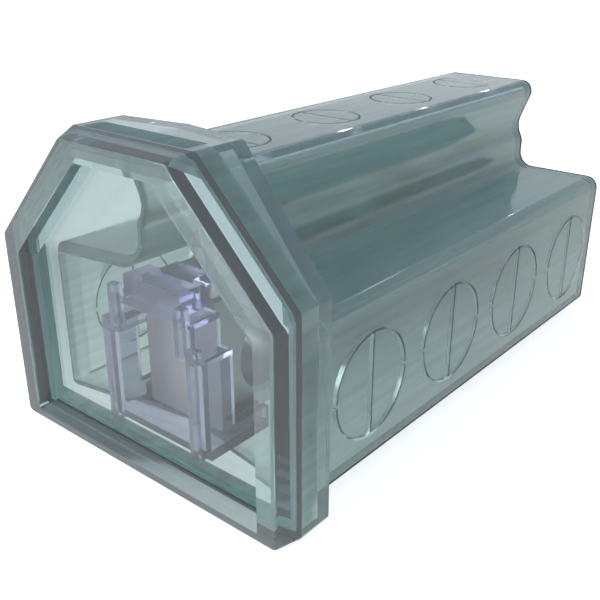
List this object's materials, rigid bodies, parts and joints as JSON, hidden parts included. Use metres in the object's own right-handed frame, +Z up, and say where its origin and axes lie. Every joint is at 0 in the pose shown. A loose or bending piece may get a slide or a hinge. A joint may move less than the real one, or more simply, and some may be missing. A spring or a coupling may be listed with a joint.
{
  "type": "insulated multi-tap connector",
  "caption": "Clear insulated multi-tap connector: housing with knock-outs on both sides and top, windowed front cover, and an inner metal bar with set screws.",
  "frame": {"origin": "on the resting plane under the middle of the whole object", "axes": "+X to the right seen from the cover, +Y from the cover to the closed end, +Z up"},
  "size_m": [0.0666, 0.115, 0.0575],
  "materials": {
    "clear_smoke": "clear moulded polycarbonate with a smoke tint",
    "clear_lavender": "clear moulded plastic with a pale lavender tint",
    "tinned_aluminium": "tin plated, satin",
    "screw_metal": "tin plated, satin"
  },
  "bodies": {
    "housing": {"housing_body": "clear_smoke", "connector_bar": "tinned_aluminium", "bar_holder_front": "clear_lavender", "bar_holder_rear": "clear_lavender"},
    "cover": {"front_cover": "clear_smoke"},
    "screw_1": {"set_screw_1": "screw_metal"},
    "screw_2": {"set_screw_2": "screw_metal"},
    "screw_3": {"set_screw_3": "screw_metal"},
    "screw_4": {"set_screw_4": "screw_metal"}
  },
  "joints": [
    {"name": "cover_pull_off", "type": "slide", "parent": "housing", "child": "cover", "axis": [0, -1, 0], "range_m": [0, 0.03]},
    {"name": "screw_1_travel", "type": "slide", "parent": "housing", "child": "screw_1", "axis": [0, 0, 1], "range_m": [-0.0115, 0.003]},
    {"name": "screw_2_travel", "type": "slide", "parent": "housing", "child": "screw_2", "axis": [0, 0, 1], "range_m": [-0.0115, 0.003]},
    {"name": "screw_3_travel", "type": "slide", "parent": "housing", "child": "screw_3", "axis": [0, 0, 1], "range_m": [-0.0115, 0.003]},
    {"name": "screw_4_travel", "type": "slide", "parent": "housing", "child": "screw_4", "axis": [0, 0, 1], "range_m": [-0.0115, 0.003]}
  ]
}
